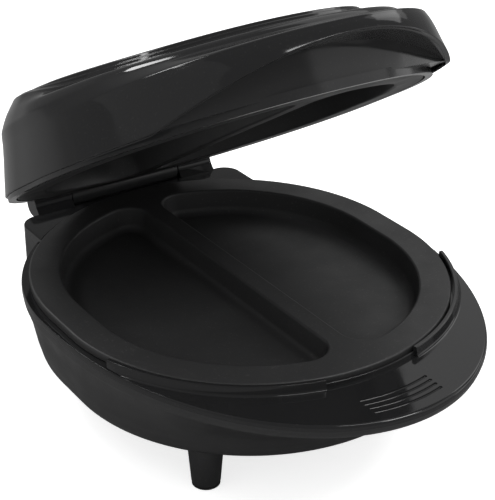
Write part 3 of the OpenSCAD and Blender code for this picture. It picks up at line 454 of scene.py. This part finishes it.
for i in range(groove_count):
    centre = (0, -plate_len - groove_first - groove_pitch * i + groove_bend_r)
    channel = arc((groove_bend_r, groove_z), groove_r, 0, 345, 23)
    hollows.append(swept(channel, centre, -90 - groove_half_turn, -90 + groove_half_turn, 40))
    for x, y in arc(centre, groove_bend_r, -90 - groove_half_turn, -90 + groove_half_turn, 1):
        hollows.append(turned(groove_end, (x, y, groove_z), steps=24))
for side in (-1, 1):
    hollows.append(rod(pin_bore_r, 0, side_knuckle_w - 2 + knuckle_gap,
                       (side * knuckle_half_w, hinge_y, hinge_z), (side, 0, 0)))
deck = cut(deck, *hollows)
ridge_foot = deck_z - 1
ridge_profile = ([(ridge_in, ridge_foot), (ridge_in, ridge_rise - ridge_round)]
                 + arc((ridge_in + ridge_round, ridge_rise - ridge_round), ridge_round, 180, 90, 5)
                 + arc((ridge_in + ridge_round + ridge_top_w, ridge_rise - ridge_round), ridge_round, 90,
                       ridge_lean, 5)
                 + arc((ridge_in + ridge_foot_w, deck_z + ridge_fillet), ridge_fillet, 180 + ridge_lean,
                       270 - ridge_lean, 6)
                 + [(ridge_in + ridge_foot_w, ridge_foot)])
notch_profile = ([(ridge_in, ridge_foot), (ridge_in, deck_z + notch_rise)]
                 + arc((ridge_in + notch_round, deck_z + notch_rise), notch_round, 180, 0, 8)
                 + [(ridge_in + notch_foot_w, ridge_foot)])
ridge_middle = (0, -mid)
ridges = join(swept(ridge_profile, ridge_middle, -90 + notch_turn, -ridge_end, 90),
              swept(ridge_profile, ridge_middle, 180 + ridge_end, 270 - notch_turn, 90),
              swept(notch_profile, ridge_middle, -90 - notch_turn - notch_lap,
                    -90 + notch_turn + notch_lap, 24))
deck = join(deck, keep(ridges, prism(outline(base_r - ridge_margin, lip_reach - ridge_margin),
                                     deck_z - 2, 2)))
gloss_black = plastic("gloss black moulding", (0.0135, 0.0135, 0.014), (0.0165, 0.0165, 0.017),
                      0.05, 0.11, 260, 0.000006, specks=0.03)
surface(deck, gloss_black, base_place, "deck")
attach(deck, "base")
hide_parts("base_frame")

# Cooking plates
# Two aluminium castings with a charcoal non-stick coating. Each has two half-moon wells with drafted
# sides and a filleted floor, a bridge between them and a rim that sits in the moulding round it.
plate_rim_t, rim_round, rim_under_round = 4, 1.0, 0.6
well_r = plate_r - 16
bridge_w = 11
well_depth, well_floor, well_wall, well_corner = 13, 4, 3, 12
well_lip_round, well_draft, well_fillet = 1.4, 0.9, 4.2
well_corner_steps, well_side_steps = 16, 36
lid_low = 1
upper_inset = 1.5
open_turn = Matrix.Translation((0, hinge_y, hinge_z)) @ Matrix.Rotation(
    math.radians(hinge["range_deg"][0]), 4, "X") @ Matrix.Translation((0, -hinge_y, -hinge_z))
lid_place = base_place @ open_turn
turned_over = Matrix.Translation((0, 0, lid_low)) @ Matrix.Scale(-1, 4, (0, 0, 1))


def half_moon(inset, side):
    """Outline of one well, drawn in by inset."""
    x0 = bridge_w / 2 + inset
    corner = max(well_corner - inset, 1)
    reach = well_r - inset - corner
    cy = math.sqrt(reach ** 2 - (x0 + corner) ** 2)
    turn = math.atan2(cy, x0 + corner)
    shape = []
    for k in range(well_corner_steps + 1):
        t = math.pi + (math.pi - turn) * k / well_corner_steps
        shape.append((x0 + corner * (1 + math.cos(t)), -mid - cy + corner * math.sin(t)))
    for half, start in ((-mid, -turn), (mid, 0)):
        for k in range(1 if start else 0, well_side_steps + 1):
            t = start + turn * k / well_side_steps
            shape.append(((well_r - inset) * math.cos(t), half + (well_r - inset) * math.sin(t)))
    for k in range(1, well_corner_steps + 1):
        t = turn + (math.pi - turn) * k / well_corner_steps
        shape.append((x0 + corner * (1 + math.cos(t)), mid + cy + corner * math.sin(t)))
    return [(side * x, y) for x, y in shape]


def well(levels, side):
    return loft("well", [at(half_moon(inset, side), z) for inset, z in levels])


def cooking_plate(rim_r):
    """One plate, its wells down. Levels of a well are (drawn in by, height)."""
    top_edge = [(rim_r - rim_round + dx, dz - rim_round) for dx, dz in arc((0, 0), rim_round, 90, 0, 6)]
    under_edge = [(rim_r - rim_under_round + dx, -plate_rim_t + rim_under_round + dz)
                  for dx, dz in arc((0, 0), rim_under_round, 0, -90, 4)]
    plate = loft("plate", [at(oval(r), z) for r, z in top_edge + under_edge])
    space = [(-well_lip_round, 1), (-well_lip_round, 0.02)]
    for t in (math.radians(a) for a in range(12, 79, 11)):
        space.append((-well_lip_round * (1 - math.sin(t)), -well_lip_round * (1 - math.cos(t))))
    for t in (math.radians(a) for a in range(6, 85, 13)):
        space.append((well_draft + well_fillet * (1 - math.cos(t)),
                      -well_depth + well_fillet * (1 - math.sin(t))))
    space.append((well_draft + well_fillet + 0.3, -well_depth))
    under = -well_depth - well_floor
    body = [(-well_wall, -1), (1 - well_wall, under + 4), (2.4 - well_wall, under + 1.2),
            (5 - well_wall, under)]
    return cut(join(plate, well(body, 1), well(body, -1)), well(space, 1), well(space, -1))


coating = plastic("charcoal non-stick coating", (0.029, 0.029, 0.0295), (0.036, 0.036, 0.0365),
                  0.38, 0.50, 1100, 0.00003, specks=0.10)
lower_plate = surface(cooking_plate(plate_r), coating, base_place, "lower_cooking_plate")
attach(lower_plate, "base")
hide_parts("lower_plate")
upper_plate = cooking_plate(plate_r - upper_inset)
upper_plate.data.transform(turned_over)
upper_plate.data.flip_normals()
surface(upper_plate, coating, lid_place, "upper_cooking_plate")
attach(upper_plate, "lid")
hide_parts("upper_plate")

# Heating, mains parts and fastenings
# What the closed housings hold: tubular elements under straps, aluminium heat shields, thermostat,
# fuse, terminal block, leads and their screws. They stay as the CAD draws them.


def metal(name, colour, rough, rough_more, grain_scale):
    darker = tuple(0.86 * c for c in colour)
    material = plastic(name, colour, darker, rough, rough_more, grain_scale, 0.000004)
    fill_in(material.node_tree.nodes["Principled BSDF"], {"Metallic": 1.0})
    return material


def insulation(name, colour, tint):
    return plastic(name, colour, tint, 0.35, 0.5, 1500, 0.00001)


steel = metal("zinc-plated steel", (0.60, 0.60, 0.61), 0.22, 0.38, 1800)
tube_steel = metal("annealed steel tube", (0.36, 0.34, 0.32), 0.35, 0.55, 900)
shield_sheet = metal("aluminium sheet", (0.80, 0.81, 0.82), 0.25, 0.42, 700)
porcelain = plastic("ceramic", (0.78, 0.76, 0.70), (0.72, 0.70, 0.64), 0.25, 0.45, 900, 0.00001)
fibre_sleeve = plastic("glass-fibre sleeve", (0.80, 0.78, 0.68), (0.70, 0.68, 0.60), 0.7, 0.85, 3000,
                       0.00006)
brown_lead = insulation("brown lead", (0.14, 0.06, 0.025), (0.11, 0.045, 0.02))
blue_lead = insulation("blue lead", (0.04, 0.11, 0.30), (0.03, 0.09, 0.25))
green_lead = insulation("green and yellow lead", (0.10, 0.28, 0.05), (0.45, 0.42, 0.04))
for material, held_inside in (
        (steel, ("lower_clamp_screws", "lower_plate_screws", "base_casing_screws", "thermostat_screws",
                 "terminal_screws", "hinge_pin_left", "hinge_pin_right", "upper_clamp_screws",
                 "upper_plate_screws", "lid_casing_screws")),
        (tube_steel, ("lower_heater", "upper_heater")),
        (shield_sheet, ("lower_heater_clamps", "upper_heater_clamps", "lower_heat_shield",
                        "upper_heat_shield", "fuse_clip")),
        (porcelain, ("thermostat", "terminal_block", "power_lamp", "ready_lamp")),
        (fibre_sleeve, ("thermal_fuse",)),
        (brown_lead, ("live_lead", "lid_live_lead")),
        (blue_lead, ("neutral_lead", "lid_neutral_lead")),
        (green_lead, ("earth_lead",)),
        (rubber, ("hinge_sleeve",))):
    for node in held_inside:
        dress(node, material)

# Top cover of the lid
# One glossy black moulding: a domed panel with three ledges round its front, a shoulder line, a side
# wall that swells to the lip, and the finger arch cut in the lip's edge.
edge_up = 2.3
edge_z = lid_low + edge_up
arch_h, arch_half_w = 17.6, 80
lid_wall, lid_rim_round = 2.2, 0.6
hood_reach = plate_len + 27
shoulder_z, panel_rise, panel_tilt, ledge_h = 34, 6.6, 9, 1.6
tilt_start, tilt_len = 11, 160
ledge_end_y, ledge_fade_len = 24, 60
droop_start, droop_slope = 58, 0.06
crown_r, crown_blend, hood_fullness = 12, 20, 2.1
panel_z = shoulder_z + panel_rise
arm_top, arm_gap = 7.8, 0.3
lamp_x, lamp_y, lens_r, lens_gap = 9, -(plate_len - 48), 3.4, 0.1
wall_steps, inner_wall_steps, inner_top_steps = 36, 16, 8
all_round = 2 * half_steps + 2


def arch_z(x):
    """Height of the finger arch over a place x."""
    return edge_z + arch_h * (1 - (x / arch_half_w) ** 2)


def risen(y):
    """How far the tilted top panel has risen at a place y."""
    t = min(max((y + plate_len - tilt_start) / tilt_len, 0), 1)
    return panel_tilt * (1 - math.cos(math.pi * t)) / 2


def ledge_depth(y):
    """Height of one ledge. The ledges fade out towards the back."""
    t = min(max((ledge_end_y - y) / ledge_fade_len, 0), 1)
    return ledge_h * t * t * (3 - 2 * t)


def droop(y):
    """How far the shoulder line has dropped towards the front."""
    return droop_slope * max(-y - droop_start, 0)


# height, half width, reach, share of the rise, ledges above, share of the droop, corner rounding
lid_rows = [
    (panel_z + 1.6, crown_r, 14, 1, 0, 0, 0),
    (panel_z + 1.5, base_r - 54, hood_reach - 84, 1, 0, 0, 0),
    (panel_z + 0.9, base_r - 30, hood_reach - 58, 1, 0, 0, 0),
    (panel_z, base_r - 23.4, hood_reach - 49, 1, 0, 0, 0.4),
    (panel_z, base_r - 22.8, hood_reach - 48.2, 1, 1, 0, 0.4),
    (panel_z - 0.3, base_r - 20.6, hood_reach - 45.6, 1, 1, 0, 0.4),
    (panel_z - 0.3, base_r - 20, hood_reach - 44.8, 1, 2, 0, 0.4),
    (panel_z - 1, base_r - 18, hood_reach - 42.4, 1, 2, 0, 0.4),
    (panel_z - 1.2, base_r - 17.2, hood_reach - 41.4, 1, 3, 0, 0.4),
    (shoulder_z + 2.5, base_r - 11.1, hood_reach - 31, 0.5, 0, 0.6, 0),
    (shoulder_z, base_r - 7, hood_reach - 26, 0, 0, 1, 0.9),
    (edge_z + 24.9, base_r - 6, hood_reach - 7.8, 0, 0, 0, 0),
    (edge_z + 22.6, base_r - 5.5, hood_reach - 4.2, 0, 0, 0, 0),
    (edge_z + 17, base_r - 4.2, hood_reach - 2, 0, 0, 0, 0),
    (edge_z + 9, base_r - 2.2, hood_reach - 1, 0, 0, 0, 0),
    (edge_z + 4, base_r - 1, hood_reach - 0.3, 0, 0, 0, 0),
    (edge_z, base_r, hood_reach, 0, 0, 0, 0)]


def back_off(points, r):
    """First point of a run that is r away from its start, and the points after it."""
    here = points[0]
    for k in range(1, len(points)):
        step = [b - a for a, b in zip(here, points[k])]
        size = math.hypot(step[0] - ledge_h * step[4], step[1])
        last = k == len(points) - 1
        if size >= r or last:
            share = min(r / max(size, 1e-6), 0.5 if last else 1)
            return [a + s * share for a, s in zip(here, step)], points[k:]


def dense(rows, steps):
    """Smooth rows between the corners, and each corner rounded by its last number."""
    runs, start = [], 0
    corners = [i for i, row in enumerate(rows) if row[-1] > 0] + [len(rows) - 1]
    for stop in corners:
        runs.append(smooth([row[:-1] for row in rows[start:stop + 1]], steps))
        start = stop
    line = runs[0]
    for run, corner in zip(runs[1:], corners):
        before, kept = back_off(line[::-1], rows[corner][-1])
        after, rest = back_off(run, rows[corner][-1])
        bend = [[(1 - t) ** 2 * a + 2 * t * (1 - t) * b + t * t * c
                 for a, b, c in zip(before, run[0], after)]
                for t in (0, 0.2, 0.4, 0.6, 0.8, 1)]
        line = kept[::-1] + bend + rest
    return line


cover_rows = dense(lid_rows, 6)
crease_row = min(range(len(cover_rows)),
                 key=lambda k: abs(cover_rows[k][0] - shoulder_z) + abs(cover_rows[k][5] - 1))


def cover_point(row, i, inset, drop):
    """Point i round a row of the cover, drawn in by inset and lowered by drop."""
    z, half_w, reach, share, ledges, drooping = row
    c = math.cos(math.pi * (i % (half_steps + 1)) / half_steps)
    s = math.sin(math.pi * (i % (half_steps + 1)) / half_steps)
    a, b = max(half_w - inset, 0.5), max(reach - inset, 0.5)
    if i <= half_steps:
        x, y = a * c, mid + a * s
    else:
        x = -a * math.copysign(abs(c) ** (2 / hood_fullness), c)
        y = -b * abs(s) ** (2 / hood_fullness)
    level = y * min(max((half_w - crown_r) / crown_blend, 0), 1)
    return (x, y, z - drop + share * risen(level) - ledges * ledge_depth(level) - drooping * droop(level))


def row_at(t):
    k = min(int(t), len(cover_rows) - 2)
    return [a + (b - a) * (t - k) for a, b in zip(cover_rows[k], cover_rows[k + 1])]


def last_row(i, inset):
    """How far down the rows a column runs before the finger arch cuts it off."""
    end = len(cover_rows) - 1
    if i <= half_steps:
        return end
    t = crease_row + 1.0
    while t < end:
        x, y, z = cover_point(row_at(t), i, inset, 0)
        if abs(x) < arch_half_w and z < arch_z(x):
            low, high = t - 0.25, t
            for _ in range(12):
                t = (low + high) / 2
                x, y, z = cover_point(row_at(t), i, inset, 0)
                low, high = (t, high) if z > arch_z(x) else (low, t)
            return t
        t += 0.25
    return end


columns = []
for i in range(all_round):
    outer_run, inner_run = last_row(i, 0) - crease_row, last_row(i, lid_wall) - crease_row
    outer = [cover_point(row, i, 0, 0) for row in cover_rows[:crease_row + 1]]
    outer += [cover_point(row_at(crease_row + outer_run * k / wall_steps), i, 0, 0)
              for k in range(1, wall_steps + 1)]
    inner = []
    for up in (k / inner_wall_steps for k in range(inner_wall_steps + 1)):
        inner.append(cover_point(row_at(crease_row + inner_run * (1 - up ** 1.5)), i, lid_wall,
                                 lid_wall * up ** 0.5))
    inner += [cover_point(row_at(crease_row * (1 - k / inner_top_steps)), i, lid_wall, lid_wall)
              for k in range(1, inner_top_steps + 1)]
    outer_edge, inner_edge = Vector(outer[-1]), Vector(inner[0])
    outer_way = (Vector(outer[-2]) - outer_edge).normalized()
    inner_way = (Vector(inner[1]) - inner_edge).normalized()
    across = (inner_edge - outer_edge).normalized()
    rim = []
    for corner, come, go in ((outer_edge, outer_way, across), (inner_edge, -across, inner_way)):
        a, c = corner + come * lid_rim_round, corner + go * lid_rim_round
        rim += [tuple(a * (1 - t) ** 2 + corner * 2 * t * (1 - t) + c * t * t)
                for t in (0, 0.25, 0.5, 0.75, 1)]
    columns.append(outer[:-1] + rim + inner[1:])
cover = loft("cover", [[column[j] for column in columns] for j in range(len(columns[0]))])
cover = cut(cover, prism(rectangle(knuckle_half_w + arm_gap, plate_len - 8, plate_len + 12), lid_low - 2,
                         arm_top + arm_gap),
            *[rod(lens_r + lens_gap, 20, 60, (x, lamp_y, 0)) for x in both_sides(lamp_x)])
surface(cover, gloss_black, lid_place, "lid_cover", 40)
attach(cover, "lid")
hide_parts("lid_shell")

# Inner frame of the lid
# A half-gloss black moulding screwed into the lid from below: the flange and seat round the upper plate,
# the curved wall and roof of the finger recess, and the middle hinge knuckle on its arm.
recess_r = base_r - 1
recess_wall_r, recess_t, recess_draft = 1.5 * plate_r, 2.2, 1.3
cover_gap, roof_gap = 0.3, 0.1
upper_r = plate_r - upper_inset
upper_gap, upper_seat_w = 0.6, 1.5
seat_top = lid_low + plate_rim_t + 3
hollow_pin_depth = 14
last_panel_row, first_wall_row, wall_top_z = 18, crease_row - 7, edge_z + 22.5


def arch(up, y_back):
    """The finger arch as a solid from y_back through the lid's front, raised by up."""
    line = [(x, arch_z(x) + up) for x in (arch_half_w * k / 40 for k in range(-40, 41))]
    line += [(arch_half_w, edge_z - 6), (-arch_half_w, edge_z - 6)]
    return loft("arch", [[(x, y, z) for x, z in line] for y in (y_back, -lip_reach - 20)])


def recess_back(inset, low, draft=0.0):
    """Disc whose edge is the back wall of the finger recess. It leans out by draft towards its top."""
    high = edge_z + arch_h + 4
    return turned([(low, recess_wall_r - inset), (high, recess_wall_r - inset + draft)],
                  (0, recess_wall_r - plate_len - 1, 0), steps=480)


def cover_form(inset, low):
    """The cover's form without its ledges, drawn in all round, as a solid that runs on below its edge."""
    rows = cover_rows[:last_panel_row + 1] + cover_rows[first_wall_row:]
    rings = [[cover_point(row, i, inset, inset if row[0] > wall_top_z else 0) for i in range(all_round)]
             for row in rows]
    return loft("cover form", rings + [[(x, y, low) for x, y, z in rings[-1]]])


recess_back_y = -plate_len + 42
flange = prism(oval(recess_r), lid_low, edge_z - 0.1)
seat = prism(oval(upper_r + upper_seat_w), lid_low, seat_top)
foot = cut(prism(oval(recess_r), edge_z - 1, edge_z + recess_t),
           prism(oval(recess_r - recess_t), edge_z - 2, edge_z + recess_t + 1))
wall = cut(recess_back(0, edge_z + 1, recess_draft), recess_back(recess_t, edge_z + recess_t, recess_draft),
           prism(oval(recess_r - 1), edge_z, edge_z + recess_t))
wall = keep(join(foot, wall), prism(rectangle(base_r, -hood_reach, -2 * mid), 0, 100),
            arch(recess_t, recess_back_y), cover_form(lid_wall + cover_gap, lid_low - 8))
roof = cut(arch(recess_t, recess_back_y), arch(roof_gap, recess_back_y + 1), recess_back(1, edge_z - 12))
roof = keep(roof, cover_form(lid_wall + cover_gap, lid_low - 8))
arm = prism(rectangle(knuckle_half_w, plate_len - 6, hinge_y), lid_low, arm_top)
barrel = turned(barrel_profile(2 * knuckle_half_w), (-knuckle_half_w, hinge_y, hinge_z), (1, 0, 0))
inner_frame = join(flange, seat, wall, roof, arm, barrel)
inner_frame = cut(inner_frame, prism(oval(upper_r + upper_gap), lid_low - 1, lid_low + plate_rim_t),
                  prism(oval(seat_r - upper_inset), lid_low - 1, seat_top + 1),
                  *[rod(pin_bore_r, -1, hollow_pin_depth, (side * knuckle_half_w, hinge_y, hinge_z),
                        (-side, 0, 0)) for side in (-1, 1)])
# Its colour is partly the moulding's own black and partly painted light: it is lifted above the other
# blacks to brighten the shade under the lid.
half_gloss_black_painted_fill = plastic("half-gloss black moulding", (0.021, 0.021, 0.0215), (0.025, 0.025, 0.0255),
                           0.10, 0.17, 420, 0.000004, specks=0.03)
surface(inner_frame, half_gloss_black_painted_fill, lid_place, "lid_inner_frame")
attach(inner_frame, "lid")
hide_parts("lid_frame")

# Indicator lenses
# Two clear-coloured mouldings, red for power and green for ready, pressed up through the cover from
# inside. A neon lamp stands under each.


def lens_glass(name, colour):
    material = plastic(name, colour, tuple(0.8 * c for c in colour), 0.05, 0.12, 500, 0.000004)
    fill_in(material.node_tree.nodes["Principled BSDF"], {"Transmission Weight": 0.6})
    return material


dress("power_lens", lens_glass("red lens", (0.55, 0.02, 0.015)))
dress("ready_lens", lens_glass("green lens", (0.02, 0.35, 0.06)))

# Table, light and camera
# A pale table without an edge in sight, an even pale room, soft lamps above, and the camera at the
# photograph's place.
table_half = 6.0
table = solid("table", at(rectangle(table_half, -table_half, table_half), 0), [(0, 1, 2, 3)])
if table.data.polygons[0].normal.z < 0:
    table.data.flip_normals()
pale = bpy.data.materials.new("pale table")
pale.use_nodes = True
nodes, links = pale.node_tree.nodes, pale.node_tree.links
shader = fill_in(nodes["Principled BSDF"],
                 {"Roughness": 0.8, "Specular IOR Level": 0.0, "Emission Color": (1, 1, 1, 1)})
table_seen, table_reflected, table_glow = (0.86, 0.86, 0.86, 1), (0.30, 0.30, 0.30, 1), 0.74


def seen_straight(nodes, links, path):
    """1 for a ray that shows the background to the camera, straight or through clear material."""
    seen = nodes.new("ShaderNodeMath")
    seen.operation = "MAXIMUM"
    links.new(path.outputs["Is Camera Ray"], seen.inputs[0])
    links.new(path.outputs["Is Transmission Ray"], seen.inputs[1])
    return seen.outputs[0]


path = nodes.new("ShaderNodeLightPath")
paint = colour_mix(nodes, {"A": table_seen, "B": table_reflected})
links.new(path.outputs["Is Glossy Ray"], paint.inputs["Factor"])
links.new(paint.outputs["Result"], shader.inputs["Base Color"])
glow = nodes.new("ShaderNodeMath")
glow.operation = "MULTIPLY"
glow.inputs[1].default_value = table_glow
links.new(seen_straight(nodes, links, path), glow.inputs[0])
links.new(glow.outputs[0], shader.inputs["Emission Strength"])
table.data.materials.append(pale)

world = bpy.data.worlds.new("pale room")
bpy.context.scene.world = world
world.use_nodes = True
nodes, links = world.node_tree.nodes, world.node_tree.links
room = fill_in(nodes["Background"], {"Color": (1, 1, 1, 1)})
room_light, room_reflected, backdrop = 0.6, 0.17, 1.0
path = nodes.new("ShaderNodeLightPath")
dimmed = fill_in(nodes.new("ShaderNodeMapRange"), {"To Min": room_light, "To Max": room_reflected})
links.new(path.outputs["Is Glossy Ray"], dimmed.inputs["Value"])
level = fill_in(nodes.new("ShaderNodeMapRange"), {"To Max": backdrop})
links.new(dimmed.outputs["Result"], level.inputs["To Min"])
links.new(seen_straight(nodes, links, path), level.inputs["Value"])
links.new(level.outputs["Result"], room.inputs["Strength"])

middle = (cad_low + cad_high) / 2
lamp_away = 1.6


def softbox(name, azimuth, elevation, width, height, brightness):
    """Lit panel facing the middle, placed by its direction from there. Azimuth 0 is behind the hinge."""
    a, e = math.radians(azimuth), math.radians(elevation)
    out = Vector((math.sin(a) * math.cos(e), math.cos(a) * math.cos(e), math.sin(e)))
    light = bpy.data.lights.new(name, "AREA")
    light.shape = "RECTANGLE"
    light.size, light.size_y, light.energy = width, height, brightness * math.pi * width * height
    lamp = bpy.data.objects.new(name, light)
    bpy.context.scene.collection.objects.link(lamp)
    lamp.location = middle + out * lamp_away
    lamp.rotation_mode = "QUATERNION"
    lamp.rotation_quaternion = (-out).to_track_quat("-Z", "Y")
    lamp.visible_camera = False


for grow, brightness in ((1.15, 0.12), (1.0, 0.12), (0.85, 0.11)):
    softbox("left panel", -75, 34, 1.5 * grow, 1.1 * grow, brightness)
softbox("right panel", 128, 25, 1.2, 1.0, 0.45)
softbox("rear panel", 58, 34, 1.25, 0.8, 0.40)
softbox("rear softbox", 76, 34, 0.7, 0.5, 1.1)
softbox("key", -18, 42, 0.5, 0.35, 9)
softbox("front softbox", 148, 48, 0.6, 0.26, 10)
softbox("low right panel", 104, 6, 1.0, 0.4, 0.9)
softbox("high front strip", 168, 60, 0.8, 0.1, 9)
softbox("high left strip", -60, 47, 0.3, 0.1, 9)

# The camera looks at the lower plate's middle, which stands at plate_at in the 495 x 500 pixels
camera_azimuth, camera_elevation, distance = -33.2525, 27.2546, 0.7458
focal_px, sensor_mm, sensor_px = 1475.93, 36, 500
plate_at, picture_middle = (237.78, 267.88), (247.5, 250.0)
camera = bpy.data.cameras.new("camera")
camera.sensor_width = sensor_mm
camera.lens = focal_px * sensor_mm / sensor_px
camera.clip_start, camera.clip_end = 0.01, 50
eye = bpy.data.objects.new("camera", camera)
bpy.context.scene.collection.objects.link(eye)
a, e = math.radians(camera_azimuth), math.radians(camera_elevation)
back = Vector((math.sin(a) * math.cos(e), -math.cos(a) * math.cos(e), math.sin(e)))
right = Vector((math.cos(a), math.sin(a), 0))
up = back.cross(right)
aside, below = ((p - q) / focal_px * distance for p, q in zip(plate_at, picture_middle))
eye.location = base_place.translation + back * distance - right * aside + up * below
eye.rotation_mode = "QUATERNION"
eye.rotation_quaternion = Matrix((right, up, back)).transposed().to_quaternion()
bpy.context.scene.camera = eye
bpy.context.scene.view_settings.view_transform = "Standard"
